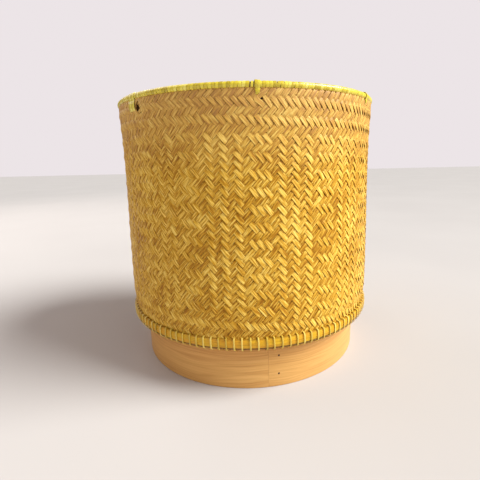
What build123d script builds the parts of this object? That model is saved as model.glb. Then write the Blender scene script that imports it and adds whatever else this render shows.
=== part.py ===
from build123d import *
import os
from math import cos, degrees, radians, sin

# A drum-shaped, open basket of twill-woven bamboo on a bent-wood foot ring.
# Millimetres, +Z up, origin at the centre of the foot ring's lower edge.
# The front of the basket faces -Y. Azimuths are degrees from the front, positive towards +X.

os.makedirs("parts", exist_ok=True)

# ---------------------------------------------------------------- driving dimensions
# Foot ring: one flat wooden strip bent into a circle, its halved ends lapped and nailed.
foot_radius = 139.5
foot_height = 55.0
foot_thickness = 4.2
foot_edge_round = 0.8
lap_start, lap_end = 4.5, 19.5
lap_kerf = 0.12
nail_azimuth = 9.1
nail_heights = {"upper": 36.6, "lower": 15.2}
nail_shank_radius = 0.7
nail_head_radius = 1.1
nail_head_height = 0.35
nail_head_edge_share = 0.6
nail_dome = 0.1
nail_point_length = 0.6
nail_past_ring = 0.4
nail_clearance = 0.02

# Woven walls: the outer and the inner layer, measured over the weave.
layer_thickness = 1.7
layer_gap = 0.2
wall_stations = [(151.0, 65.4), (152.7, 76), (153.3, 97), (151.9, 165), (150.2, 240), (151.0, 290)]
corner_radius = 5.0
flange_inner_radius = 131.0
lip_top = 296.8
lip_round = 1.2

# Bottom: two woven mats on the flange of the outer wall.
mat_thickness = 1.6
mat_gap = 0.1
lower_mat_radius = 146.2
upper_mat_radius = 148.3

# Rim: a cane hoop on the folded edge of the wall, wrapped crosswise and tied on.
hoop_radius = 149.0
hoop_height = 300.0
cane_radius = 2.2
wrap_radius = 3.0
wrap_joint_azimuth = -3.4
wrap_joint_gap = 0.5
tie_count = 7
first_tie_azimuth = 1.5
tie_width = 5.0
tie_thickness = 0.8
tie_hole_height = 287.8

# Belt: a flat split-bamboo hoop, convex outside, sewn to the wall and the foot ring.
belt_low, belt_high = 54.8, 65.4
belt_inner_radius = 151.4
belt_edge_radius = 153.6
belt_outer_radius = 154.6
stitch_count = 120
lace_width = 2.0
lace_thickness = 0.8
lace_hole_play = 0.2

# The lacing's way, from the surfaces it passes.
lace_over_belt = 0.6
lace_under_belt = 1.2
lace_in_wall = 0.7
lace_over_floor = 0.9
lace_in_ring = 0.9
lace_out_of_ring = 0.4
lace_hole_drop = 10.0

# Shared small gaps: between parts that touch, and between the ends of the belt and of the cane hoop.
contact_gap = 0.05
hoop_joint_gap = 0.3
kerf_overrun = 1.0

# ---------------------------------------------------------------- derived sizes
flange_bottom = foot_height
flange_top = flange_bottom + layer_thickness
lower_mat_bottom = flange_top + mat_gap
upper_mat_bottom = lower_mat_bottom + mat_thickness + mat_gap
floor_top = upper_mat_bottom + mat_thickness
inner_wall_bottom = floor_top + mat_gap
wall_low_radius = wall_stations[0][0]
wall_top_radius = wall_stations[-1][0]
corner_centre = (wall_low_radius - corner_radius, flange_bottom + corner_radius)
inner_layer_inset = layer_thickness + layer_gap
lining_inset = inner_layer_inset + layer_thickness
lip_inner_radius = wall_top_radius - lining_inset - mat_gap
lip_bottom = lip_top - layer_thickness
ring_inner_radius = foot_radius - foot_thickness
lace_run = lace_thickness / 2 + contact_gap

# The stitch goes down over the belt, in through the foot ring, up through the bottom mats,
# slants outwards over the floor, and comes out through both walls above the belt.
lace_route = [
    (belt_outer_radius + lace_run, belt_high + lace_over_belt),
    (wall_low_radius - lining_inset - lace_in_wall, belt_high + lace_over_belt),
    (ring_inner_radius - lace_in_ring, floor_top + lace_over_floor),
    (ring_inner_radius - lace_in_ring, foot_height - lace_hole_drop),
    (foot_radius + lace_out_of_ring, foot_height - lace_hole_drop),
    (belt_outer_radius + lace_run, belt_low - lace_under_belt),
]


def upright(azimuth):
    """The vertical plane through the Z axis whose local X points outwards at this azimuth."""
    angle = radians(azimuth)
    return Plane(origin=(0, 0, 0), x_dir=(sin(angle), -cos(angle), 0), z_dir=(-cos(angle), -sin(angle), 0))


def inset_stations(inset):
    """The wall's outline, moved towards the axis."""
    return [(radius - inset, height) for radius, height in wall_stations]


def corner_point(radius, angle):
    """A point on an arc round the centre of the wall's lower corner."""
    return (corner_centre[0] + radius * cos(radians(angle)), corner_centre[1] + radius * sin(radians(angle)))


def tie_azimuths():
    """The places of the rim ties, evenly spaced."""
    return [first_tie_azimuth + 360 / tie_count * number for number in range(tie_count)]


# ---------------------------------------------------------------- stitches and the holes they need
with BuildPart() as one_stitch:
    with BuildSketch(upright(0)):
        with BuildLine():
            Polyline(*lace_route, close=True)
        trace(line_width=lace_thickness)
    extrude(amount=lace_width / 2, both=True)

with BuildPart() as one_stitch_hole:
    with BuildSketch(upright(0)):
        with BuildLine():
            Polyline(*lace_route, close=True)
        trace(line_width=lace_thickness + 2 * lace_hole_play)
    extrude(amount=lace_width / 2 + lace_hole_play, both=True)

stitches = [Rot(0, 0, 360 / stitch_count * number) * one_stitch.part for number in range(stitch_count)]
stitch_holes = [Rot(0, 0, 360 / stitch_count * number) * one_stitch_hole.part for number in range(stitch_count)]

with BuildPart() as belt_lacing:
    add(stitches)
belt_lacing.part.label = "belt_lacing"
export_step(belt_lacing.part, "parts/belt_lacing.step")


# ---------------------------------------------------------------- rim ties and the slots they need
def draw_tie(play):
    """A tie's outline seen along the rim: round over the hoop, then straight down to its slot."""
    inner = wrap_radius + contact_gap - play
    outer = wrap_radius + contact_gap + tie_thickness + play
    outer_drop = hoop_height - tie_hole_height + tie_thickness / 2 + play
    inner_drop = hoop_height - tie_hole_height - tie_thickness / 2 - play
    with Locations((hoop_radius, hoop_height)):
        Circle(outer)
        Rectangle(2 * outer, outer_drop, align=(Align.CENTER, Align.MAX))
        Circle(inner, mode=Mode.SUBTRACT)
        Rectangle(2 * inner, inner_drop, align=(Align.CENTER, Align.MAX), mode=Mode.SUBTRACT)


tie_slots = []
for number, azimuth in enumerate(tie_azimuths(), start=1):
    with BuildPart() as rim_tie:
        with BuildSketch(upright(azimuth)):
            draw_tie(play=0)
        extrude(amount=tie_width / 2, both=True)
    rim_tie.part.label = f"rim_tie_{number}"
    export_step(rim_tie.part, f"parts/rim_tie_{number}.step")

    with BuildPart() as tie_slot:
        with BuildSketch(upright(azimuth)):
            draw_tie(play=lace_hole_play)
        extrude(amount=tie_width / 2 + lace_hole_play, both=True)
    tie_slots.append(tie_slot.part)

# ---------------------------------------------------------------- woven outer wall
# The wall turns in at the bottom as a flange, and folds over the inner layer at the top.
with BuildPart() as outer_wall:
    with BuildSketch(Plane.XZ):
        with BuildLine():
            outside = Spline(*inset_stations(0))
            Line(outside @ 1, (wall_top_radius, lip_top - lip_round))
            RadiusArc((wall_top_radius, lip_top - lip_round), (wall_top_radius - lip_round, lip_top), -lip_round)
            Line((wall_top_radius - lip_round, lip_top), (lip_inner_radius + lip_round, lip_top))
            RadiusArc((lip_inner_radius + lip_round, lip_top), (lip_inner_radius, lip_top - lip_round), -lip_round)
            Line((lip_inner_radius, lip_top - lip_round), (lip_inner_radius, lip_bottom))
            Line((lip_inner_radius, lip_bottom), (wall_top_radius - layer_thickness, lip_bottom))
            inside = Spline(*inset_stations(layer_thickness))
            Line((wall_top_radius - layer_thickness, lip_bottom), inside @ 1)
            inner_bend = corner_radius - layer_thickness
            Line(inside @ 0, corner_point(inner_bend, 0))
            ThreePointArc(corner_point(inner_bend, 0), corner_point(inner_bend, -45), corner_point(inner_bend, -90))
            Line(corner_point(inner_bend, -90), (flange_inner_radius, flange_top))
            Line((flange_inner_radius, flange_top), (flange_inner_radius, flange_bottom))
            Line((flange_inner_radius, flange_bottom), corner_point(corner_radius, -90))
            ThreePointArc(
                corner_point(corner_radius, -90), corner_point(corner_radius, -45), corner_point(corner_radius, 0)
            )
            Line(corner_point(corner_radius, 0), outside @ 0)
        make_face()
    revolve(axis=Axis.Z)
    add(stitch_holes, mode=Mode.SUBTRACT)
    add(tie_slots, mode=Mode.SUBTRACT)
outer_wall.part.label = "outer_wall"
export_step(outer_wall.part, "parts/outer_wall.step")

# ---------------------------------------------------------------- woven inner wall
with BuildPart() as inner_wall:
    with BuildSketch(Plane.XZ):
        with BuildLine():
            back = Spline(*inset_stations(inner_layer_inset))
            face = Spline(*inset_stations(lining_inset))
            back_top = (wall_top_radius - inner_layer_inset, lip_bottom - mat_gap)
            face_top = (wall_top_radius - lining_inset, lip_bottom - mat_gap)
            back_foot = (wall_low_radius - inner_layer_inset, inner_wall_bottom)
            face_foot = (wall_low_radius - lining_inset, inner_wall_bottom)
            Polyline(back @ 1, back_top, face_top, face @ 1)
            Polyline(face @ 0, face_foot, back_foot, back @ 0)
        make_face()
    revolve(axis=Axis.Z)
    add(stitch_holes, mode=Mode.SUBTRACT)
    add(tie_slots, mode=Mode.SUBTRACT)
inner_wall.part.label = "inner_wall"
export_step(inner_wall.part, "parts/inner_wall.step")

# ---------------------------------------------------------------- bottom mats
with BuildPart() as bottom_mat_lower:
    with BuildSketch(Plane.XY.offset(lower_mat_bottom)):
        Circle(lower_mat_radius)
    extrude(amount=mat_thickness)
    add(stitch_holes, mode=Mode.SUBTRACT)
bottom_mat_lower.part.label = "bottom_mat_lower"
export_step(bottom_mat_lower.part, "parts/bottom_mat_lower.step")

with BuildPart() as bottom_mat_upper:
    with BuildSketch(Plane.XY.offset(upper_mat_bottom)):
        Circle(upper_mat_radius)
    extrude(amount=mat_thickness)
    add(stitch_holes, mode=Mode.SUBTRACT)
bottom_mat_upper.part.label = "bottom_mat_upper"
export_step(bottom_mat_upper.part, "parts/bottom_mat_upper.step")

# ---------------------------------------------------------------- belt hoop
# The ends of the belt and of the cane hoop meet at the back.
hoop_turn = 360 - hoop_joint_gap
with BuildPart() as belt_hoop:
    with BuildSketch(upright(180 + hoop_joint_gap / 2)):
        with BuildLine():
            belt_middle = (belt_low + belt_high) / 2
            ThreePointArc(
                (belt_edge_radius, belt_low), (belt_outer_radius, belt_middle), (belt_edge_radius, belt_high)
            )
            Polyline(
                (belt_edge_radius, belt_high),
                (belt_inner_radius, belt_high),
                (belt_inner_radius, belt_low),
                (belt_edge_radius, belt_low),
            )
        make_face()
    revolve(axis=Axis.Z, revolution_arc=hoop_turn)
belt_hoop.part.label = "belt_hoop"
export_step(belt_hoop.part, "parts/belt_hoop.step")

# ---------------------------------------------------------------- rim hoop and its wrapping
with BuildPart() as rim_hoop_core:
    with BuildSketch(upright(180 + hoop_joint_gap / 2)):
        with Locations((hoop_radius, hoop_height)):
            Circle(cane_radius - contact_gap)
    revolve(axis=Axis.Z, revolution_arc=hoop_turn)
rim_hoop_core.part.label = "rim_hoop_core"
export_step(rim_hoop_core.part, "parts/rim_hoop_core.step")

with BuildPart() as rim_wrap:
    with BuildSketch(upright(wrap_joint_azimuth + wrap_joint_gap)):
        with Locations((hoop_radius, hoop_height)):
            Circle(wrap_radius)
            Circle(cane_radius, mode=Mode.SUBTRACT)
    revolve(axis=Axis.Z, revolution_arc=360 - wrap_joint_gap)
rim_wrap.part.label = "rim_wrap"
export_step(rim_wrap.part, "parts/rim_wrap.step")

# ---------------------------------------------------------------- foot ring and its nails
middle_radius = foot_radius - foot_thickness / 2
nail_inner_radius = ring_inner_radius - nail_past_ring
kerf_inner_radius = middle_radius - lap_kerf / 2
kerf_outer_radius = middle_radius + lap_kerf / 2
kerf_half_angle = degrees(lap_kerf / 2 / middle_radius)


def plan_point(radius, azimuth):
    """A point of the plan at this radius and azimuth."""
    return (radius * sin(radians(azimuth)), -radius * cos(radians(azimuth)))


with BuildPart() as foot_ring:
    with BuildSketch(Plane.XZ) as ring_section:
        with Locations((ring_inner_radius, 0)):
            Rectangle(foot_thickness, foot_height, align=Align.MIN)
        fillet(ring_section.vertices(), radius=foot_edge_round)
    revolve(axis=Axis.Z)
    with BuildSketch(Plane.XY):
        with BuildLine():
            lap_middle = (lap_start + lap_end) / 2
            outer_slot = plan_point(foot_radius + kerf_overrun, lap_start - kerf_half_angle)
            inner_arc = ThreePointArc(
                plan_point(kerf_inner_radius, lap_start - kerf_half_angle),
                plan_point(kerf_inner_radius, lap_middle),
                plan_point(kerf_inner_radius, lap_end - kerf_half_angle),
            )
            outer_arc = ThreePointArc(
                plan_point(kerf_outer_radius, lap_end + kerf_half_angle),
                plan_point(kerf_outer_radius, lap_middle),
                plan_point(kerf_outer_radius, lap_start + kerf_half_angle),
            )
            Polyline(
                inner_arc @ 1,
                plan_point(ring_inner_radius - kerf_overrun, lap_end - kerf_half_angle),
                plan_point(ring_inner_radius - kerf_overrun, lap_end + kerf_half_angle),
                outer_arc @ 0,
            )
            Polyline(
                outer_arc @ 1,
                plan_point(foot_radius + kerf_overrun, lap_start + kerf_half_angle),
                outer_slot,
                inner_arc @ 0,
            )
        make_face()
    extrude(amount=foot_height, mode=Mode.SUBTRACT)
    add(stitch_holes, mode=Mode.SUBTRACT)
    for height in nail_heights.values():
        with BuildSketch(upright(nail_azimuth)):
            with Locations((nail_inner_radius, height)):
                Rectangle(
                    foot_radius + nail_head_height - nail_inner_radius,
                    nail_shank_radius + nail_clearance,
                    align=(Align.MIN, Align.MIN),
                )
        nail_axis = Axis((0, 0, height), upright(nail_azimuth).x_dir)
        revolve(axis=nail_axis, mode=Mode.SUBTRACT)
foot_ring.part.label = "foot_ring"
export_step(foot_ring.part, "parts/foot_ring.step")

for place, height in nail_heights.items():
    with BuildPart() as foot_nail:
        with BuildSketch(upright(nail_azimuth)):
            with BuildLine():
                Polyline(
                    (nail_inner_radius, height),
                    (nail_inner_radius + nail_point_length, height + nail_shank_radius),
                    (foot_radius + contact_gap, height + nail_shank_radius),
                    (foot_radius + contact_gap, height + nail_head_radius),
                    (foot_radius + nail_head_height, height + nail_head_radius * nail_head_edge_share),
                    (foot_radius + nail_head_height + nail_dome, height),
                    close=True,
                )
            make_face()
        nail_axis = Axis((0, 0, height), upright(nail_azimuth).x_dir)
        revolve(axis=nail_axis)
    foot_nail.part.label = f"foot_nail_{place}"
    export_step(foot_nail.part, f"parts/foot_nail_{place}.step")
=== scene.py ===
import math

import bpy
import numpy as np
from mathutils import Euler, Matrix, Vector
from mathutils.bvhtree import BVHTree


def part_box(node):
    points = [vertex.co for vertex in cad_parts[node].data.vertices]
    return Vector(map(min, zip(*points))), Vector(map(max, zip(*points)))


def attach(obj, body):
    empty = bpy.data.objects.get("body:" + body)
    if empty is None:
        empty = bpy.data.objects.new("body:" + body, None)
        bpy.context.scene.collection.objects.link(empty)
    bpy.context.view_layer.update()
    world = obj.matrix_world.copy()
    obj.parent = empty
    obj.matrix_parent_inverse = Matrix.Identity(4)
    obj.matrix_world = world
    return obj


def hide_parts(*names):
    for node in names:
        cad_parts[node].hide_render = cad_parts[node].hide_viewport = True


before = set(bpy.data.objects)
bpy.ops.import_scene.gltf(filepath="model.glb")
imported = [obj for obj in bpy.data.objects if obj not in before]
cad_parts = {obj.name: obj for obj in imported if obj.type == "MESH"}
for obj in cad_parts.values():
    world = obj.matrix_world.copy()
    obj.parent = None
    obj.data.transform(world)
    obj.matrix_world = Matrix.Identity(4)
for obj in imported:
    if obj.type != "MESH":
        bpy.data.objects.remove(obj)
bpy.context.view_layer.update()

# An open drum-shaped basket of twill-woven bamboo on a bent-wood foot ring. Lengths are in millimetres
# until a mesh is made. Azimuths are radians from the front (-Y), positive towards +X.
MM = 0.001
TURN = 2 * math.pi
# where the five points of strip_section lie across the strip, from edge to edge
SECTION_ACROSS = np.array([-1.0, -0.9, 0.0, 0.9, 1.0])
rng = np.random.default_rng(20)


# ---------------------------------------------------------------- sizes read from the frame
def node_box(name):
    """A CAD node's lowest and highest corners, in millimetres."""
    low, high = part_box(name)
    return np.array(low) / MM, np.array(high) / MM


def outside_radii(name, heights, azimuth):
    """The radius of a CAD node's outside at each height, found by rays from outside at one azimuth."""
    tree = BVHTree.FromObject(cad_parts[name], bpy.context.evaluated_depsgraph_get())
    outward = Vector((math.sin(azimuth), -math.cos(azimuth), 0))
    radii = []
    for height in heights:
        hit = tree.ray_cast(outward + Vector((0, 0, height * MM)), -outward)[0]
        radii.append(Vector((hit.x, hit.y)).length / MM)
    return np.array(radii)


wall_low, wall_high = node_box("outer_wall")
lining_low, lining_high = node_box("inner_wall")
wrap_low, wrap_high = node_box("rim_wrap")
belt_low, belt_high = node_box("belt_hoop")
upper_mat_low, upper_mat_high = node_box("bottom_mat_upper")
lower_mat_low, lower_mat_high = node_box("bottom_mat_lower")
foot_outer, _, foot_top = node_box("foot_ring")[1]

wrap_radius = (wrap_high[2] - wrap_low[2]) / 2
hoop_radius = wrap_high[0] - wrap_radius
hoop_height = (wrap_high[2] + wrap_low[2]) / 2
tie_count = sum(1 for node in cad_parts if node.startswith("rim_tie_"))
block_tie = tie_count


def tie_azimuth(number):
    """Where a tie stands on the rim."""
    low, high = node_box(f"rim_tie_{number}")
    middle = (low + high) / 2
    return math.atan2(middle[0], -middle[1])


ties = [tie_azimuth(number) for number in range(1, tie_count + 1)]

# ---------------------------------------------------------------- driving sizes
# The thickness of a woven layer, the strips in each family of a wall layer, and the bottom mats' strips.
layer = 1.7
wall_strips = 140
lining_strips = 84
mat_pitch, mat_strip_width = 7.8, 7.4
mat_inset = 0.3

# The wall's twill repeats every four crossing rows and grows coarser downwards.
twill_repeat = 15.3
twill_growth = 0.07
first_twill_height = 286.4
wall_rows = (-8, 68)
border_rows_top = 8
border_rows_bottom = 51

# Zones round the wall, in crossing columns: each has a wide part with upright stripes and a narrow part
# with level rows. One zone's wide part is shorter.
zone_columns = 20
stripe_columns = 14
first_zone_column = 6
short_zone, short_zone_columns = 12, 10

# Each rim tie goes in through the wall at its foot. An opening is the azimuth and height where the
# strips are pushed aside, and by how much. Beside the block of turns it is wide enough to see.
tie_foot = hoop_height - 8.0
block_foot = hoop_height - 13.5
openings = [(azimuth + 0.010, tie_foot - 2.2, 0.9) for azimuth in ties]
openings[block_tie - 1] = (ties[block_tie - 1] + 0.074, hoop_height - 10.5, 4.6)

stitch_count = 120
foot_thickness = 4.2
foot_inner = foot_outer - foot_thickness
foot_edge_round = 0.8
lap_start, lap_end = math.radians(4.5), math.radians(19.5)


# ---------------------------------------------------------------- meshes
def around(radius, azimuth, height):
    """Points at these radii, azimuths and heights, which are spread to one common shape."""
    radius, azimuth, height = np.broadcast_arrays(radius, azimuth, height)
    return np.stack([radius * np.sin(azimuth), -radius * np.cos(azimuth), height], -1)


def smooth_noise(count, spacing, size):
    """A row of random values that change gently: one fresh value every so many places."""
    knots = rng.normal(0, size, int(count / spacing) + 3)
    return np.interp(np.arange(count) / spacing, np.arange(len(knots)), knots)


def strip_section(width, thickness, crown):
    """A flat strip's cross-section: a chamfered, slightly crowned top and a flat underside."""
    half = width / 2
    shoulder = half - 0.4 * min(0.45, width * 0.12)
    shoulder_height = thickness / 2 - 0.08
    return np.array(
        [
            (-half, -thickness / 2),
            (-shoulder, shoulder_height),
            (0, thickness / 2 + crown),
            (shoulder, shoulder_height),
            (half, -thickness / 2),
        ]
    )


def profile_rings(line, normal, section, turn):
    """Rings of a strip that follows a line of (radius, height) points, its section along the normals."""
    radius = line[:, 0, None] + normal[:, 0, None] * section[None, :, 1]
    height = line[:, 1, None] + normal[:, 1, None] * section[None, :, 1]
    return around(radius, turn, height)


class Pile:
    """Collects swept strips into the arrays of one mesh, with where each point lies on its strip."""

    def __init__(self):
        self.points, self.quads, self.caps = [], [], []
        self.along, self.across, self.tone = [], [], []
        self.count = 0

    def sweep(self, rings, along, across, tone, closed=False):
        """Adds one strip. rings is stations x points x 3, along per station, across per point of a ring."""
        stations, size = rings.shape[:2]
        start = self.count + np.arange(stations)[:, None] * size
        corner = np.arange(size)[None, :]
        follow = (corner + 1) % size
        near = start if closed else start[:-1]
        far = np.roll(start, -1, axis=0) if closed else start[1:]
        quads = np.stack([near + corner, near + follow, far + follow, far + corner], -1)
        self.quads.append(quads.reshape(-1, 4))
        if not closed:
            self.caps.append(self.count + np.arange(size)[::-1])
            self.caps.append(self.count + (stations - 1) * size + np.arange(size))
        self.points.append(rings.reshape(-1, 3))
        self.along.append(np.repeat(along, size))
        self.across.append(np.tile(across, stations))
        self.tone.append(np.full(stations * size, tone))
        self.count += stations * size

    def make(self, name, material, slot, node):
        """Makes the piece, which rides the basket's one body and stands for a CAD node."""
        mesh = bpy.data.meshes.new(name)
        points = np.concatenate(self.points) * MM
        quads = np.concatenate(self.quads)
        cap_sizes = [len(cap) for cap in self.caps]
        loops = np.concatenate([quads.ravel(), *self.caps])
        sizes = np.concatenate([np.full(len(quads), 4), np.array(cap_sizes, int)])
        starts = np.concatenate([[0], np.cumsum(sizes)[:-1]])
        mesh.vertices.add(len(points))
        mesh.vertices.foreach_set("co", points.ravel())
        mesh.loops.add(len(loops))
        mesh.loops.foreach_set("vertex_index", loops.astype(np.int32))
        mesh.polygons.add(len(sizes))
        mesh.polygons.foreach_set("loop_start", starts.astype(np.int32))
        mesh.update(calc_edges=True)
        for label in ("along", "across", "tone"):
            values = np.concatenate(getattr(self, label)).astype(np.float32)
            mesh.attributes.new(label, "FLOAT", "POINT").data.foreach_set("value", values)
        mesh.polygons.foreach_set("use_smooth", np.ones(len(sizes), bool))
        mesh.set_sharp_from_angle(angle=math.radians(40))
        mesh.materials.append(material)
        piece = bpy.data.objects.new(name, mesh)
        bpy.context.scene.collection.objects.link(piece)
        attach(piece, "root")
        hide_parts(node)


# ---------------------------------------------------------------- node materials
class Shader:
    """A Principled material and short calls for wiring its nodes."""

    def __init__(self, name, roughness, **sockets):
        self.material = bpy.data.materials.new(name)
        self.material.use_nodes = True
        self.tree = self.material.node_tree
        self.surface = self.tree.nodes["Principled BSDF"]
        self.surface.inputs["Roughness"].default_value = roughness
        for socket, value in sockets.items():
            self.surface.inputs[socket.replace("_", " ")].default_value = value

    def node(self, kind, settings=None, **inputs):
        """A new node. Its inputs are named, or numbered as i0, i1 and so on."""
        made = self.tree.nodes.new(kind)
        for key, value in (settings or {}).items():
            setattr(made, key, value)
        for key, value in inputs.items():
            numbered = key[0] == "i" and key[1:].isdigit()
            socket = made.inputs[int(key[1:]) if numbered else key.replace("_", " ")]
            if isinstance(value, bpy.types.NodeSocket):
                self.tree.links.new(value, socket)
            else:
                socket.default_value = value
        return made

    def attribute(self, name):
        return self.node("ShaderNodeAttribute", {"attribute_name": name}).outputs["Fac"]

    def math(self, operation, first, second=0.0):
        return self.node("ShaderNodeMath", {"operation": operation}, i0=first, i1=second).outputs[0]

    def vector_math(self, operation, first, second, output):
        made = self.node("ShaderNodeVectorMath", {"operation": operation}, i0=first, i1=second)
        return made.outputs[output]

    def total(self, *terms):
        """The sum of (value, weight, centre) terms: how far each value is from its centre, weighted."""
        result = 0.0
        for value, weight, centre in terms:
            term = self.math("MULTIPLY", self.math("SUBTRACT", value, centre), weight)
            result = self.math("ADD", result, term)
        return result

    def stretched(self, first, second, offset):
        """Texture coordinates from two (value, scale) pairs and an offset."""
        x, y = self.math("MULTIPLY", *first), self.math("MULTIPLY", *second)
        return self.node("ShaderNodeCombineXYZ", X=x, Y=y, Z=offset).outputs[0]

    def noise(self, vector, scale, detail, roughness=0.5):
        made = self.node("ShaderNodeTexNoise", Vector=vector, Scale=scale, Detail=detail, Roughness=roughness)
        return made.outputs["Fac"]

    def spread(self, value, low, high, to_low=0.0, to_high=1.0):
        """The value with the range low to high taken to another range, and held at its ends."""
        return self.node("ShaderNodeMapRange", i0=value, i1=low, i2=high, i3=to_low, i4=to_high).outputs[0]

    def ramp(self, value, stops):
        made = self.node("ShaderNodeValToRGB", Fac=value)
        elements = made.color_ramp.elements
        while len(elements) < len(stops):
            elements.new(0.5)
        for element, (place, colour) in zip(elements, stops):
            element.position = place
            element.color = (*colour, 1)
        return made.outputs["Color"]

    def blend(self, share, first, second, kind="MIX"):
        settings = {"data_type": "RGBA", "blend_type": kind}
        return self.node("ShaderNodeMix", settings, i0=share, i6=first, i7=second).outputs[2]

    def colour(self, socket):
        self.tree.links.new(socket, self.surface.inputs["Base Color"])

    def roughness(self, socket):
        self.tree.links.new(socket, self.surface.inputs["Roughness"])

    def bump(self, height, depth, strength):
        made = self.node("ShaderNodeBump", Strength=strength, Distance=depth * MM, Height=height)
        self.tree.links.new(made.outputs[0], self.surface.inputs["Normal"])


def bamboo_strip_material(name, stops, patch_depth, gap_shade_depth, half_width, hole_shade_points=()):
    """Split bamboo: fibres along the strip, a tone of its own for each strip, darker patches and edges.

    The stops colour it from dark to light. Its darker edges are painted shade, where the gaps between the
    strips fall dark. Round each point in the last argument, in metres, painted shade darkens the outer face
    of the bamboo, so that the tie openings look dark inside.
    """
    upper_wall, upper_wall_tint = (0.225, 0.297), (0.58, 0.35, 0.17, 1)
    # Painted shade: a brown for the strip edges, where the gaps between strips fall dark, and a near-black
    # for round the tie openings.
    gap_shade_brown, hole_shade_brown = (0.20, 0.085, 0.015, 1), (0.055, 0.022, 0.005, 1)
    hole_shade_reach = 0.011
    shader = Shader(name, 0.44, Specular_IOR_Level=0.14)
    along, across, tone = (shader.attribute(label) for label in ("along", "across", "tone"))
    offset = shader.math("MULTIPLY", tone, 91.0)
    fine = shader.noise(shader.stretched((across, half_width * 2.2), (along, 1.0), offset), 1.0, 3.0)
    fibre = shader.noise(shader.stretched((across, half_width * 1.3), (along, 0.045), offset), 2.2, 4.0)
    streak = shader.noise(shader.stretched((across, half_width * 0.55), (along, 0.05), offset), 1.6, 2.0)
    coordinates = shader.node("ShaderNodeTexCoord")
    place = coordinates.outputs["Object"]
    patch = shader.noise(place, 26.0, 3.0, 0.6)
    level = shader.total(
        (tone, 0.10, 0.0), (fibre, 0.70, 0.0), (streak, 0.70, 0.32), (patch, patch_depth, 0.5)
    )
    colour = shader.ramp(level, stops)
    height = shader.node("ShaderNodeSeparateXYZ", Vector=place).outputs["Z"]
    colour = shader.blend(shader.spread(height, *upper_wall, 0.0, 0.42), colour, upper_wall_tint)
    # painted shade along the strip edges, where the gaps between the strips fall dark
    edge = shader.spread(shader.math("ABSOLUTE", across), 0.70, 1.0, 0.0, gap_shade_depth)
    colour = shader.blend(edge, colour, gap_shade_brown)
    # painted shade round the tie openings, darkening the bamboo's outer face near each given point
    if hole_shade_points:
        sideways = shader.vector_math("MULTIPLY", place, (1, 1, 0), "Vector")
        facing = shader.vector_math("DOT_PRODUCT", coordinates.outputs["Normal"], sideways, "Value")
        outer_face = shader.spread(facing, 0.0, 0.03)
    for hole_point in hole_shade_points:
        gap = shader.vector_math("DISTANCE", place, hole_point, "Value")
        dark = shader.math("MULTIPLY", outer_face, shader.spread(gap, hole_shade_reach, hole_shade_reach * 0.6))
        colour = shader.blend(dark, colour, hole_shade_brown)
    shader.colour(colour)
    shader.roughness(shader.spread(fibre, 0.3, 0.7, 0.34, 0.52))
    shader.bump(shader.total((fibre, 1.0, 0.0), (fine, 0.35, 0.0)), 0.10, 0.7)
    return shader.material


def yellow_strip_material():
    """Flat glossy plastic strip, a little greener or more golden from turn to turn."""
    stops = [
        (0.12, (0.48, 0.36, 0.02)),
        (0.45, (0.70, 0.55, 0.035)),
        (0.72, (0.84, 0.71, 0.07)),
        (0.95, (0.92, 0.82, 0.22)),
    ]
    # painted shade along the strip edges, in the seams between neighbouring turns
    seam_shade_colour = (0.30, 0.21, 0.01, 1)
    shader = Shader("yellow_binding_strip", 0.30, Coat_Weight=0.15, Coat_Roughness=0.2)
    along, across, tone = (shader.attribute(label) for label in ("along", "across", "tone"))
    offset = shader.math("MULTIPLY", tone, 57)
    lengthwise = shader.noise(shader.stretched((across, 3.0), (along, 0.06), offset), 2.0, 3.0)
    colour = shader.ramp(shader.total((tone, 0.65, 0.0), (lengthwise, 0.40, 0.0)), stops)
    edge = shader.spread(shader.math("ABSOLUTE", across), 0.70, 1.0, 0.0, 0.55)
    shader.colour(shader.blend(edge, colour, seam_shade_colour))
    shader.roughness(shader.spread(lengthwise, 0.3, 0.7, 0.24, 0.40))
    shader.bump(lengthwise, 0.06, 0.6)
    return shader.material


def lacing_material():
    """Narrow pale lacing strip with a satin face."""
    stops = [
        (0.20, (0.44, 0.29, 0.03)),
        (0.45, (0.62, 0.43, 0.06)),
        (0.65, (0.76, 0.57, 0.12)),
        (0.90, (0.84, 0.69, 0.22)),
    ]
    shader = Shader("pale_lacing_strip", 0.34)
    along, across, tone = (shader.attribute(label) for label in ("along", "across", "tone"))
    offset = shader.math("MULTIPLY", tone, 41)
    lengthwise = shader.noise(shader.stretched((across, 2.0), (along, 0.10), offset), 2.0, 3.0)
    shader.colour(shader.ramp(shader.total((tone, 0.45, 0.0), (lengthwise, 0.55, 0.0)), stops))
    shader.bump(lengthwise, 0.05, 0.6)
    return shader.material


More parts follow.
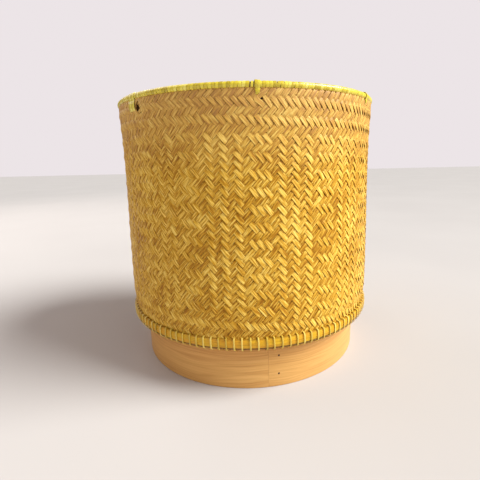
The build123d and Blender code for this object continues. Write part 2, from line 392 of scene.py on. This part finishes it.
def belt_material():
    """Split bamboo with its skin on: golden brown with yellow-green stretches and long fine fibres."""
    golden_stops = [(0.30, (0.37, 0.17, 0.008)), (0.50, (0.68, 0.335, 0.014)), (0.72, (0.86, 0.49, 0.03))]
    green_stops = [(0.30, (0.36, 0.195, 0.008)), (0.50, (0.68, 0.39, 0.012)), (0.72, (0.86, 0.56, 0.03))]
    # The second colour is painted shadow for the belt's lower edge, where the gap under the belt falls dark.
    top_edge, under_belt_shadow = (0.20, 0.10, 0.015, 1), (0.07, 0.025, 0.004, 1)
    shader = Shader("split_bamboo_skin", 0.38, Specular_IOR_Level=0.3)
    along, across = (shader.attribute(label) for label in ("along", "across"))
    fibre = shader.noise(shader.stretched((across, 5.0), (along, 0.012), 3.0), 3.0, 4.0)
    stretch = shader.noise(shader.stretched((across, 0.5), (along, 0.03), 9.0), 1.0, 2.0)
    golden, green = shader.ramp(fibre, golden_stops), shader.ramp(fibre, green_stops)
    colour = shader.blend(shader.spread(stretch, 0.44, 0.60), golden, green)
    colour = shader.blend(shader.spread(across, 0.72, 1.0, 0.0, 0.55), colour, top_edge)
    # painted shadow along the belt's lower edge
    colour = shader.blend(shader.spread(across, -0.60, -0.80, 0.0, 0.85), colour, under_belt_shadow)
    shader.colour(colour)
    shader.bump(fibre, 0.15, 0.6)
    return shader.material


def bent_wood_material():
    """Light planed wood: long grain round the ring, a few darker growth lines and a rosier upper half."""
    stops = [
        (0.28, (0.55, 0.27, 0.085)),
        (0.44, (0.66, 0.355, 0.113)),
        (0.60, (0.74, 0.42, 0.143)),
        (0.78, (0.80, 0.48, 0.17)),
    ]
    rosy_tint, pore_brown = (0.86, 0.76, 0.74, 1), (0.30, 0.14, 0.05, 1)
    shader = Shader("bent_wood_strip", 0.46, Specular_IOR_Level=0.12)
    along, across = (shader.attribute(label) for label in ("along", "across"))
    sway = shader.noise(shader.stretched((along, 0.006), (across, 1.0), 1.0), 1.0, 2.0)
    height = shader.total((across, 1.0, 0.0), (sway, 0.9, 0.5))
    grain = shader.noise(shader.stretched((height, 5.5), (along, 0.004), 5.0), 2.4, 5.0, 0.6)
    pores = shader.noise(shader.stretched((across, 60.0), (along, 0.10), 8.0), 1.0, 3.0)
    colour = shader.ramp(grain, stops)
    colour = shader.blend(shader.spread(height, -0.1, 0.5, 0.0, 0.6), colour, rosy_tint, "MULTIPLY")
    shader.colour(shader.blend(shader.spread(pores, 0.62, 0.78, 0.0, 0.25), colour, pore_brown))
    shader.roughness(shader.spread(grain, 0.3, 0.7, 0.40, 0.55))
    shader.bump(shader.total((grain, 1.0, 0.0), (pores, 0.5, 0.0)), 0.12, 0.5)
    return shader.material


def grainy_material(name, roughness, stops, scale, depth, **sockets):
    """A dull surface mottled between two colours by a fine even grain."""
    shader = Shader(name, roughness, **sockets)
    grain = shader.noise(shader.node("ShaderNodeTexCoord").outputs["Object"], scale, 3.0)
    shader.colour(shader.ramp(grain, stops))
    shader.bump(grain, depth, 0.5)
    return shader.material


weave_material = bamboo_strip_material(
    "bamboo_strips",
    [
        (0.34, (0.29, 0.115, 0.008)),
        (0.46, (0.485, 0.230, 0.015)),
        (0.56, (0.69, 0.40, 0.042)),
        (0.70, (0.91, 0.655, 0.16)),
    ],
    patch_depth=0.21,
    gap_shade_depth=0.22,
    half_width=2.6,
)
lining_material = bamboo_strip_material(
    "bamboo_lining_strips",
    [
        (0.28, (0.30, 0.165, 0.05)),
        (0.45, (0.48, 0.29, 0.09)),
        (0.60, (0.60, 0.39, 0.14)),
        (0.80, (0.72, 0.52, 0.24)),
    ],
    patch_depth=0.4,
    gap_shade_depth=0.45,
    half_width=3.7,
    # painted shade on the lining round each tie opening, so that the openings look dark inside
    hole_shade_points=[around(hoop_radius - 2, azimuth, height) * MM for azimuth, height, _ in openings],
)
yellow_material = yellow_strip_material()
pale_material = lacing_material()
skin_material = belt_material()
wood_material = bent_wood_material()
cane_material = grainy_material(
    "rim_cane", 0.6, [(0.35, (0.10, 0.055, 0.012)), (0.65, (0.24, 0.15, 0.04))], 400.0, 0.1
)
iron_material = grainy_material(
    "iron_nail", 0.5, [(0.35, (0.035, 0.022, 0.016)), (0.65, (0.13, 0.06, 0.03))], 2200.0, 0.06, Metallic=0.6
)


# ---------------------------------------------------------------- the walls' outline
class Outline:
    """The middle line of a wall layer, from the inside of the fold over the top and down to the bottom.

    A place on it is the distance along it, which is 0 at its highest point.
    """

    def __init__(self, radii, heights):
        steps = np.hypot(np.diff(radii), np.diff(heights))
        travel = np.concatenate([[0], np.cumsum(steps)])
        self.travel = travel - travel[int(np.argmax(heights))]
        self.radii, self.heights = np.array(radii), np.array(heights)
        turn_r = np.gradient(self.radii, self.travel)
        turn_z = np.gradient(self.heights, self.travel)
        length = np.hypot(turn_r, turn_z)
        self.out_r, self.out_z = -turn_z / length, turn_r / length

    def radius(self, place):
        return np.interp(place, self.travel, self.radii)

    def at_height(self, height):
        """The place on the outer side that has this height."""
        outer = self.travel >= 0
        return float(np.interp(-height, -self.heights[outer], self.travel[outer]))

    def points(self, place, azimuth, lift):
        """Points of the layer, each lifted off the middle line along its outward normal."""
        height = np.interp(place, self.travel, self.heights)
        out_r, out_z = np.interp(place, self.travel, self.out_r), np.interp(place, self.travel, self.out_z)
        return around(self.radius(place) + out_r * lift, azimuth, height + out_z * lift)


# an azimuth with no tie or nail, where rays meet the plain walls
plain_azimuth = math.radians(25)


def outer_outline():
    """From inside the fold over the lip, down the outer wall, round the corner and in over the foot."""
    face_top, face_bottom = wall_high[2] + 0.5, 66
    heights = np.arange(face_top, face_bottom, -2.0)
    face = outside_radii("outer_wall", np.minimum(heights, wall_high[2] - 0.6), plain_azimuth) - layer / 2

    fold_radius, fold_depth = 0.9, 9
    inner_radius = face[0] - 2 * fold_radius
    inside_heights = np.arange(face_top - fold_depth, face_top, 1.5)
    arc = np.linspace(math.pi, 0, 9)[1:-1]
    fold_r = inner_radius + fold_radius + fold_radius * np.cos(arc)
    fold_z = face_top + fold_radius * np.sin(arc)

    corner, flange_inner = 4.2, 132.5
    corner_r = outside_radii("outer_wall", [62.0], plain_azimuth)[0] - layer / 2 - corner
    flange_z = wall_low[2] + layer / 2
    bend = np.linspace(0, -math.pi / 2, 8)
    bend_r = corner_r + corner * np.cos(bend)
    bend_z = flange_z + corner + corner * np.sin(bend)
    flange_r = np.linspace(corner_r - 2, flange_inner, 5)

    radii = np.concatenate([np.full(len(inside_heights), inner_radius), fold_r, face, bend_r, flange_r])
    tall = np.concatenate([inside_heights, fold_z, heights, bend_z, np.full(len(flange_r), flange_z)])
    return Outline(radii, tall)


def lining_outline():
    """The inner layer, straight down from under the fold to the bottom mat."""
    heights = np.linspace(lining_high[2] - 0.4, lining_low[2] + 0.4, 120)
    face = outside_radii("inner_wall", np.clip(heights, 66, 290), plain_azimuth) - layer / 2
    return Outline(face, heights)


# ---------------------------------------------------------------- twill weaving round an outline
def wave(place, azimuth):
    """How far hand weaving wanders from an exact grid, down and sideways, in millimetres.

    The rows dip towards one side, more so lower down, and both rows and columns ripple a little.
    """
    dip, dip_growth, level_side = 3, 0.034, 0.12
    down = (dip + dip_growth * place) * (np.sin(azimuth) - level_side)
    down = down + 0.4 * np.sin(5 * azimuth + 0.02 * place) + 0.3 * np.sin(9 * azimuth + 1.3 - 0.035 * place)
    side = 0.4 * np.sin(0.030 * place + 4 * azimuth) + 0.3 * np.sin(0.06 * place - 9 * azimuth + 2.0)
    return down, side


def opening_shift(outline, place, azimuth, half_width):
    """How far whole strips are pushed aside, down and round, where the ties go through the wall."""
    moved_place, moved_azimuth = place, azimuth
    for opening_azimuth, opening_height, size in openings:
        opening_place = outline.at_height(opening_height)
        turn = (moved_azimuth - opening_azimuth + math.pi) % TURN - math.pi
        side = turn * hoop_radius
        down = moved_place - opening_place
        distance = np.maximum(np.hypot(side, down), 0.05)
        clear = half_width + size
        push = np.sqrt(distance**2 + clear**2 * np.exp(-((distance / (1.5 * clear)) ** 2)))
        scale = np.where((distance < 4 * clear) & (moved_place > 0.5), push / distance, 1.0)
        moved_place = opening_place + down * scale
        moved_azimuth = moved_azimuth + side * (scale - 1) / hoop_radius
    return moved_place - place, moved_azimuth - azimuth


# Where between two crossings a strip changes from over to under.
change_start, change_end = 0.36, 0.64
# For the two families of a layer: how much higher its floats stand, how far a float bows out
# between crossings, how far a strip leans on its edge, and how much painted shade darkens the family,
# as its strips catch the key light less.
float_rise = (1.15, 0.85)
float_bow = ((1.25, 1.9), (0.9, 1.2))
edge_tilt = (-0.15, 0.03)
darker = (0.0, 0.3)
# How unlike each other the strips are: in height, width and tilt, and in how far they stray sideways.
uneven_height, uneven_width, uneven_tilt = 0.035, 0.035, 0.03
stray, stray_rows = 0.16, 6


def weave(piles, outline, count, row_place, rows, lies_over, width, thickness, lift, crown, opened):
    """Weaves two families of strips round an outline, one into each of two piles.

    Family 0 runs down to the right and family 1 down to the left, count strips in each. row_place(row)
    is a crossing row's place on the outline, and rows is the first and the last of them.
    lies_over(column, row) says whether family 0 is on top at that crossing. A strip's middle stands lift
    above or below the outline, and its crown is how far its face bulges. Where opened is true, the strips
    make way for the rim ties.
    """
    column_turn = TURN / (2 * count)
    row_numbers = np.arange(rows[0], rows[1] + 1)
    top, bottom = outline.travel[0], outline.travel[-1]
    for family, direction in ((0, 1), (1, -1)):
        for number in range(count):
            columns = direction * row_numbers + 2 * number
            over = np.array([lies_over(c, r) for c, r in zip(columns, row_numbers)])
            if family == 1:
                over = ~over
            stations, lifts = [], []
            for k, row in enumerate(row_numbers):
                state = 1.0 if over[k] else -1.0
                # a strip that stays underneath needs no station of its own at the later crossings
                if over[k] or over[k - 1] or not border_rows_top <= row < border_rows_bottom:
                    stations.append(row)
                    lifts.append(state * lift)
                if k + 1 == len(row_numbers):
                    break
                following = 1.0 if over[k + 1] else -1.0
                if following != state:
                    stations += [row + change_start, row + change_end]
                    lifts += [state * lift, following * lift]
                elif state > 0:
                    stations.append(row + 0.5)
                    lifts.append(lift * rng.uniform(*float_bow[family]))
            stations, lifts = np.array(stations, float), np.array(lifts)
            lifts = np.where(lifts > 0, float_rise[family] * lifts, lifts)
            lifts += np.interp(stations, row_numbers, rng.normal(0, uneven_height, len(row_numbers)))
            wander = np.interp(stations, row_numbers, smooth_noise(len(row_numbers), stray_rows, stray))
            place = row_place(stations)
            keep = (place > top + 0.5) & (place < bottom - 0.5)
            stations, lifts, wander, place = stations[keep], lifts[keep], wander[keep], place[keep]
            azimuth = (direction * stations + 2 * number - 1) * column_turn
            radius = outline.radius(place)
            run = column_turn * radius
            pitch = row_place(stations + 0.5) - row_place(stations - 0.5)
            length = np.hypot(run, pitch)
            own_width = width * (1 + rng.normal(0, uneven_width))
            section = strip_section(own_width, thickness, crown)
            offset = section[None, :, 0] + wander[:, None]
            # across the strip, seen from outside with azimuth to the right and place downwards
            ring_place = place[:, None] - direction * offset * (run / length)[:, None]
            ring_azimuth = azimuth[:, None] + offset * (pitch / length / radius)[:, None]
            down, side = wave(ring_place, ring_azimuth)
            # the wander fades out towards the lip
            calm = np.clip((ring_place - 4) / 12, 0, 1)
            ring_place = ring_place + down * calm
            ring_azimuth = ring_azimuth + side * calm / hoop_radius
            if opened:
                down, turn = opening_shift(outline, ring_place[:, 2], ring_azimuth[:, 2], own_width / 2)
                ring_place = ring_place + down[:, None]
                ring_azimuth = ring_azimuth + turn[:, None]
            tilt = rng.normal(edge_tilt[family], uneven_tilt)
            ring_lift = lifts[:, None] + section[None, :, 1] + tilt * offset
            rings = outline.points(ring_place, ring_azimuth, ring_lift)
            if direction > 0:
                rings = rings[:, ::-1]
            along = stations * float(length.mean())
            # painted shade: the family that runs down to the left is darker, as its strips catch the light
            # less
            tone = rng.uniform(0.3, 1.0) - darker[family]
            piles[family].sweep(rings, along, SECTION_ACROSS[::-direction], tone)


def wall_pattern(column, row):
    """True where the strips that run down to the right lie on top.

    The borders and the narrow zones have the twill's floats in level rows, and the wide zones between
    them have the floats in upright stripes.
    """
    level = row % 4 in (0, 1)
    if row < border_rows_top or row >= border_rows_bottom:
        return level
    zone, inside = divmod((column - first_zone_column) % (2 * wall_strips), zone_columns)
    if inside >= stripe_columns or (zone == short_zone and inside < stripe_columns - short_zone_columns):
        return level
    return inside // 2 % 2 == 1


def plain_pattern(column, row):
    """A 2/2 twill in level rows."""
    return row % 4 in (0, 1)


wall_outline = outer_outline()
first_twill_place = wall_outline.at_height(first_twill_height)


def wall_row_place(row):
    """Where a crossing row of the outer wall lies."""
    repeat = (row - 0.5) / 4
    return first_twill_place + twill_repeat * repeat + twill_growth * repeat * np.abs(repeat)


down_right, down_left = Pile(), Pile()
weave(
    (down_right, down_left), wall_outline, wall_strips, wall_row_place, wall_rows, wall_pattern,
    width=4.9, thickness=0.55, lift=0.46, crown=0.16, opened=True,
)
down_right.make("outer_weave_down_right", weave_material, "bamboo_weave", "outer_wall")
down_left.make("outer_weave_down_left", weave_material, "bamboo_weave", "outer_wall")

inside_line = lining_outline()
lining_pitch = TURN * hoop_radius / lining_strips / 2
lining_rows = (-2, int(inside_line.travel[-1] / lining_pitch) + 2)


def lining_row_place(row):
    """Where a crossing row of the inner wall lies."""
    return row * lining_pitch


lining_right, lining_left = Pile(), Pile()
weave(
    (lining_right, lining_left), inside_line, lining_strips, lining_row_place, lining_rows, plain_pattern,
    width=7.3, thickness=0.5, lift=0.4, crown=0.12, opened=False,
)
lining_right.make("lining_weave_down_right", lining_material, "bamboo_lining", "inner_wall")
lining_left.make("lining_weave_down_left", lining_material, "bamboo_lining", "inner_wall")


# ---------------------------------------------------------------- bottom mats
def weave_mat(name, low, high, material, slot, node, turn):
    """A flat 2/2 twill disc of straight strips, cut to a circle that fits a box's two corners."""
    radius = high[0] - mat_inset
    middle = (low[2] + high[2]) / 2
    mat_lift, thickness, crown = 0.34, 0.5, 0.08
    cos, sin = math.cos(turn), math.sin(turn)
    count = int(radius / mat_pitch)
    numbers = np.arange(-count, count + 1)
    pile = Pile()
    for family, direction in ((0, 1), (1, -1)):
        for number in numbers:
            side = number * mat_pitch
            reach = math.sqrt(max(radius**2 - (abs(side) + mat_strip_width / 2) ** 2, 0))
            if reach < mat_pitch:
                continue
            stations, lifts = [], []
            crossings = [k for k in numbers if abs(k * mat_pitch) < reach]
            states = [(direction * (k - number) % 4 in (0, 1)) == (family == 0) for k in crossings]
            for k, crossing in enumerate(crossings):
                lift = mat_lift if states[k] else -mat_lift
                stations.append(crossing * mat_pitch)
                lifts.append(lift)
                if k + 1 < len(crossings) and states[k + 1] != states[k]:
                    stations += [(crossing + change_start) * mat_pitch, (crossing + change_end) * mat_pitch]
                    lifts += [lift, -lift]
            stations = np.array([-reach, *stations, reach])
            lifts = np.array([lifts[0], *lifts, lifts[-1]])
            section = strip_section(mat_strip_width * (1 + rng.normal(0, 0.03)), thickness, crown)
            first = stations[:, None] + 0 * section[None, :, 0]
            second = side + section[None, :, 0] + 0 * stations[:, None] + rng.normal(0, 0.1)
            tall = middle + lifts[:, None] + section[None, :, 1]
            x, y = (first, second) if family == 0 else (second, first)
            rings = np.stack([x * cos - y * sin, x * sin + y * cos, tall], -1)
            if family == 0:
                rings = rings[:, ::-1]
            pile.sweep(rings, stations, SECTION_ACROSS, rng.random())
    pile.make(name, material, slot, node)


weave_mat(
    "bottom_mat_upper_weave", upper_mat_low, upper_mat_high,
    lining_material, "bamboo_lining", "bottom_mat_upper", math.radians(40),
)
weave_mat(
    "bottom_mat_lower_weave", lower_mat_low, lower_mat_high,
    weave_material, "bamboo_weave", "bottom_mat_lower", math.radians(-5),
)


# ---------------------------------------------------------------- rim wrapping
def wind(pile, start, end, strip_width, thickness, lean=0.0):
    """Winds a flat strip crosswise round the hoop from one azimuth to another, in close turns."""
    steps, overlap, inset = 18, 0.97, 0.14
    turns = max(1, round((end - start) * hoop_radius / (strip_width * overlap)))
    advance = (end - start) / turns
    section = strip_section(strip_width, thickness, 0.07)
    # measured round the hoop's own section: 0 on its outer side and a quarter turn on top
    angle = np.linspace(-math.pi / 2, 1.5 * math.pi, steps + 1)[:, None]
    share = np.linspace(0, 1, steps + 1)[:, None]
    shingle = 0.05 * section[None, :, 0]
    for turn in range(turns):
        azimuth = start + (turn + 0.5 + (share - 0.5) * 0.2) * advance + section[None, :, 0] / hoop_radius
        azimuth = azimuth + (lean + rng.normal(0, 0.25)) * np.sin(angle) / hoop_radius
        lift = wrap_radius - thickness / 2 - inset + section[None, :, 1] + shingle + rng.normal(0, 0.05)
        rings = around(hoop_radius + lift * np.cos(angle), azimuth, hoop_height + lift * np.sin(angle))
        along = (share[:, 0] + turn) * TURN * wrap_radius
        pile.sweep(rings[:, ::-1], along, SECTION_ACROSS[::-1], rng.random())


# one strip goes nearly all the way round, and a second one covers the joint beside the first tie
joint = ties[0]
main_start, main_end = joint - math.radians(1.2), joint + TURN - math.radians(2.85)
cover_start, cover_end = joint - math.radians(2.45), joint - math.radians(1.5)
wrapping = Pile()
wind(wrapping, main_start, main_end, strip_width=3.3, thickness=0.45)
wind(wrapping, cover_start, cover_end, strip_width=2.4, thickness=0.5, lean=0.35)
wrapping.make("rim_wrapping", yellow_material, "yellow_strip", "rim_wrap")


# ---------------------------------------------------------------- rim ties
def tie_loop(pile, azimuth, foot_height, top_side, foot_side, top_width, foot_width, stand, foot_depth):
    """One turn of a tie: over the hoop, down the outside, in through the wall and up the inside.

    The sides say where it stands beside its azimuth at the top and at the foot. stand is how far it is
    outside the wrapping, and foot_depth is half the gap between its two legs near the foot.
    """
    reach = wrap_radius + stand
    shoulder = hoop_height - 1.0
    waist = hoop_height - wrap_radius - 0.6
    over = np.linspace(0, math.pi, 13)
    down = np.linspace(foot_height, shoulder, 12)
    bends = [foot_height, foot_height + 2.5, waist - 3.2, waist, shoulder]
    depth = np.interp(down, bends, [2.0, foot_depth, foot_depth, 2.3, reach])
    outer = np.stack([hoop_radius + depth, down], -1)
    inner = np.stack([hoop_radius - depth, down], -1)[::-1]
    arch = np.stack([hoop_radius + reach * np.cos(over), hoop_height + reach * np.sin(over)], -1)
    line = np.concatenate([outer, arch, inner])
    ahead = np.roll(line, -1, axis=0) - np.roll(line, 1, axis=0)
    ahead /= np.linalg.norm(ahead, axis=1)[:, None]
    normal = np.stack([ahead[:, 1], -ahead[:, 0]], -1)
    tie_top = hoop_height + reach
    share = np.clip((tie_top - line[:, 1]) / (tie_top - foot_height), 0, 1) ** 1.3
    sideways = top_side + (foot_side - top_side) * share
    widths = top_width + (foot_width - top_width) * share
    section = strip_section(1.0, 0.45, 0.08)
    offset = section[None, :, 0] * widths[:, None] + sideways[:, None]
    rings = profile_rings(line, normal, section, azimuth + offset / hoop_radius)
    pile.sweep(rings, np.arange(len(line)) * 1.5, SECTION_ACROSS, rng.random(), closed=True)


# Most ties are two turns, one beside the other. The last is a block of four close turns.
block_turns, block_side, block_pitch = 4, -4.6, 3.0
for number, azimuth in enumerate(ties, start=1):
    tie = Pile()
    if number == block_tie:
        for turn in range(block_turns):
            side = block_side + block_pitch * turn
            tie_loop(
                tie, azimuth, block_foot + rng.normal(0, 0.4), top_side=side, foot_side=side * 0.9 + 0.2,
                top_width=2.9, foot_width=2.8, stand=0.05 + 0.05 * turn, foot_depth=3.0,
            )
    else:
        lean = rng.uniform(-1.2, -0.4)
        tie_loop(
            tie, azimuth, tie_foot + 1.0, top_side=1.1 + lean, foot_side=0.0,
            top_width=2.6, foot_width=2.2, stand=0.30, foot_depth=2.9,
        )
        tie_loop(
            tie, azimuth, tie_foot, top_side=-1.3 + lean, foot_side=-1.4,
            top_width=2.8, foot_width=2.3, stand=0.55, foot_depth=2.9,
        )
    tie.make(f"rim_tie_{number}_strip", yellow_material, "yellow_strip", f"rim_tie_{number}")


# ---------------------------------------------------------------- belt hoop
belt_drop = 0.9
belt_outer = belt_high[0]
belt_bottom, belt_top = belt_low[2] - belt_drop, belt_high[2] - belt_drop
belt_middle = (belt_bottom + belt_top) / 2
belt_thickness, belt_bow, belt_inset = 3.0, 0.9, 0.25
bow = np.linspace(-1, 1, 9)
belt_face = np.stack(
    [belt_outer - belt_inset - belt_bow * bow**2, belt_middle + bow * (belt_top - belt_bottom) / 2], -1
)
belt_back = [(belt_outer - belt_thickness, belt_top), (belt_outer - belt_thickness, belt_bottom)]
belt_section = np.concatenate([belt_face, belt_back])
# The belt's ends meet at the back. It is a little uneven, and swells at its knuckles.
end_gap = 0.001
knuckles, knuckle_height, knuckle_length = (0.9, 2.6, 4.4, 5.9), 0.35, 2.5
belt_azimuths = np.linspace(math.pi + end_gap, 3 * math.pi - end_gap, 481)
swelling = 0.12 * np.sin(5 * belt_azimuths) + 0.08 * np.sin(11 * belt_azimuths + 1)
for knuckle in knuckles:
    gap = (belt_azimuths - knuckle + math.pi) % TURN - math.pi
    swelling = swelling + knuckle_height * np.exp(-((gap * belt_outer / knuckle_length) ** 2))
swelling = swelling - belt_inset
belt_rings = around(
    belt_section[None, :, 0] + swelling[:, None], belt_azimuths[:, None], belt_section[None, :, 1]
)
belt_across = (belt_section[:, 1] - belt_middle) / (belt_top - belt_middle)
belt = Pile()
belt.sweep(belt_rings, belt_azimuths * belt_section[:, 0].max(), belt_across, 0.5)
belt.make("belt_hoop_split_bamboo", skin_material, "split_bamboo_hoop", "belt_hoop")


# ---------------------------------------------------------------- belt lacing
# Each stitch runs down over the belt and in through the foot ring, then up inside the ring, through the
# bottom mats and out over the floor to the walls. Its route is a line of (radius, height) points.
stitch_face = belt_outer + 0.25
mat_top = upper_mat_high[2]
lining_inner = inside_line.radius(inside_line.at_height(belt_top + 1.0)) - layer / 2
outside_route = [
    (stitch_face - 5.2, belt_top + 1.2),
    (stitch_face - 2.6, belt_top + 1.3),
    (stitch_face - 0.9, belt_top + 0.75),
    (stitch_face - 0.25, belt_top - 0.6),
    (stitch_face + 0.05, belt_top - 3.0),
    (stitch_face + 0.05, belt_middle),
    (stitch_face + 0.05, belt_bottom + 3.0),
    (stitch_face - 0.3, belt_bottom + 0.5),
    (stitch_face - 1.6, belt_bottom - 1.1),
    (stitch_face - 5.0, belt_bottom - 3.4),
    (foot_outer + 0.6, foot_top - 9.6),
    (foot_outer - 2.0, foot_top - 10.4),
]
inside_route = [
    (foot_inner + 0.3, foot_top - 10.4),
    (foot_inner - 0.6, foot_top - 9.9),
    (foot_inner - 0.9, foot_top - 8.6),
    (foot_inner - 0.9, foot_top + 0.5),
    (foot_inner - 0.9, mat_top + 0.3),
    (foot_inner - 0.4, mat_top + 1.0),
    (foot_inner + 0.8, mat_top + 1.4),
    (lining_inner - 1.2, belt_top + 0.9),
    (lining_inner + 0.8, belt_top + 1.2),
]
route = np.array(outside_route + inside_route)
ahead = np.gradient(route, axis=0)
ahead /= np.linalg.norm(ahead, axis=1)[:, None]
route_normal = np.stack([-ahead[:, 1], ahead[:, 0]], -1)
travel = np.concatenate([[0], np.cumsum(np.linalg.norm(np.diff(route, axis=0), axis=1))])
# a stitch leans across the belt on the outside and comes back on the inside
lean_places = [0, travel[len(outside_route) - 1], travel[-1]]
lean_share = np.interp(travel, lean_places, [-0.35, 0.65, -0.35])

stitch_lean, stitch_width, stitch_thickness, stitch_crown = 0.9, 1.65, 0.55, 0.10
lacing = Pile()
for number in range(stitch_count):
    azimuth = TURN / stitch_count * number + rng.normal(0, 0.0018)
    lean = stitch_lean + rng.normal(0, 0.25)
    section = strip_section(stitch_width + rng.normal(0, 0.12), stitch_thickness, stitch_crown)
    turn = azimuth + (section[None, :, 0] + lean * lean_share[:, None]) / belt_outer
    lacing.sweep(profile_rings(route, route_normal, section, turn), travel, SECTION_ACROSS, rng.random())
lacing.make("belt_lacing_stitches", pale_material, "pale_lacing", "belt_lacing")


# ---------------------------------------------------------------- foot ring and nails
def foot_section(inner, outer):
    """The foot ring's section between two radii, with rounded edges."""
    soft = min(foot_edge_round, (outer - inner) / 2 - 0.01)
    quarter = np.linspace(0, math.pi / 2, 4)
    corners = []
    for centre_r, centre_z, start in (
        (outer - soft, soft, -math.pi / 2),
        (outer - soft, foot_top - soft, 0),
        (inner + soft, foot_top - soft, math.pi / 2),
        (inner + soft, soft, math.pi),
    ):
        angles = start + quarter
        corners.append(np.stack([centre_r + soft * np.cos(angles), centre_z + soft * np.sin(angles)], -1))
    return np.concatenate(corners)


# The strip's two ends are halved and lie one over the other in the lap. Its section changes over a tiny
# turn at each end of the lap.
lap_middle, lap_gap, tiny = foot_outer - foot_thickness / 2, 0.06, 0.0004
full = foot_section(foot_inner, foot_outer)
outer_half = foot_section(lap_middle + lap_gap, foot_outer)
inner_half = foot_section(foot_inner, lap_middle - lap_gap)
stations = [(a, outer_half) for a in np.linspace(lap_start + tiny, lap_end, 14)]
stations += [(a, full) for a in np.linspace(lap_end + tiny, lap_start + TURN - tiny, 330)]
stations += [(a, inner_half) for a in np.linspace(lap_start + TURN, lap_end + TURN - tiny, 14)]
turns = np.array([a for a, _ in stations])
sections = np.stack([s for _, s in stations])
foot = Pile()
foot.sweep(
    around(sections[..., 0], turns[:, None], sections[..., 1]),
    turns * foot_outer, full[:, 1] / foot_top * 2 - 1, 0.5,
)
foot.make("foot_ring_bent_wood", wood_material, "bent_wood", "foot_ring")

for node, material in (
    ("foot_nail_upper", iron_material),
    ("foot_nail_lower", iron_material),
    ("rim_hoop_core", cane_material),
):
    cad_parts[node].data.materials.clear()
    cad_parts[node].data.materials.append(material)

# ---------------------------------------------------------------- camera, floor and light
scene = bpy.context.scene
look_down, look_right, roll_clockwise = 12.91, 3.79, 1.16
camera = bpy.data.objects.new("camera", bpy.data.cameras.new("camera"))
camera.data.lens = 25.76
camera.data.sensor_width = 36
camera.data.shift_x = -0.0322
camera.location = (-0.02165, -0.4613, 0.2364)
aimed = Euler((math.radians(90 - look_down), 0, math.radians(-look_right))).to_matrix()
rolled = Euler((0, 0, math.radians(-roll_clockwise))).to_matrix()
camera.rotation_euler = (aimed @ rolled).to_euler()
scene.collection.objects.link(camera)
scene.camera = camera

far = 8
floor_mesh = bpy.data.meshes.new("floor")
floor_mesh.from_pydata([(-far, -far, 0), (far, -far, 0), (far, far, 0), (-far, far, 0)], [], [(0, 1, 2, 3)])
floor = bpy.data.objects.new("floor", floor_mesh)
scene.collection.objects.link(floor)
floor_look = Shader("pale_floor", 0.85)
cloudy = floor_look.noise(floor_look.node("ShaderNodeTexCoord").outputs["Object"], 3.0, 2.0)
floor_look.colour(floor_look.ramp(cloudy, [(0.3, (0.500, 0.475, 0.490)), (0.7, (0.520, 0.495, 0.510))]))
floor_mesh.materials.append(floor_look.material)


def area_light(name, place, aim, size, power, colour):
    """A square soft light at one place, facing another."""
    light = bpy.data.objects.new(name, bpy.data.lights.new(name, "AREA"))
    light.data.size = size
    light.data.energy = power
    light.data.color = colour
    light.location = place
    light.rotation_euler = (Vector(aim) - Vector(place)).to_track_quat("-Z", "Y").to_euler()
    scene.collection.objects.link(light)


sun_level, sun_drop = 0.74, 0.67
sun = bpy.data.objects.new("window_sun", bpy.data.lights.new("window_sun", "SUN"))
sun.data.energy = 5.4
sun.data.angle = math.radians(32)
sun.data.color = (0.985, 1.0, 0.93)
sunshine = Vector((-0.975 * sun_level, 0.222 * sun_level, -sun_drop))
sun.rotation_euler = sunshine.to_track_quat("-Z", "Y").to_euler()
scene.collection.objects.link(sun)
area_light(
    "backdrop_bounce", (-1.3, 0.9, 1.4), (-0.1, 0, 0.1), size=1.6, power=14, colour=(1.0, 0.90, 0.80)
)
area_light(
    "window_fill", (1.3, -1.5, 0.8), (0, 0, 0.15), size=1.3, power=10, colour=(1.0, 0.98, 0.90)
)
area_light(
    "floor_bounce", (-0.9, -1.0, 0.12), (-0.08, 0, 0.03), size=0.6, power=2.0, colour=(1.0, 0.89, 0.78)
)

# the room lights the scene with one colour and shows another behind the floor's far edge
scene.world = bpy.data.worlds.new("pale_room")
scene.world.use_nodes = True
world = scene.world.node_tree
room = world.nodes["Background"]
room.inputs["Color"].default_value = (0.95, 0.83, 0.77, 1)
room.inputs["Strength"].default_value = 0.30
seen = world.nodes.new("ShaderNodeBackground")
seen.inputs["Color"].default_value = (0.84, 0.78, 0.80, 1)
path = world.nodes.new("ShaderNodeLightPath")
choice = world.nodes.new("ShaderNodeMixShader")
world.links.new(path.outputs["Is Camera Ray"], choice.inputs[0])
world.links.new(room.outputs[0], choice.inputs[1])
world.links.new(seen.outputs[0], choice.inputs[2])
world.links.new(choice.outputs[0], world.nodes["World Output"].inputs["Surface"])
scene.view_settings.view_transform = "Standard"
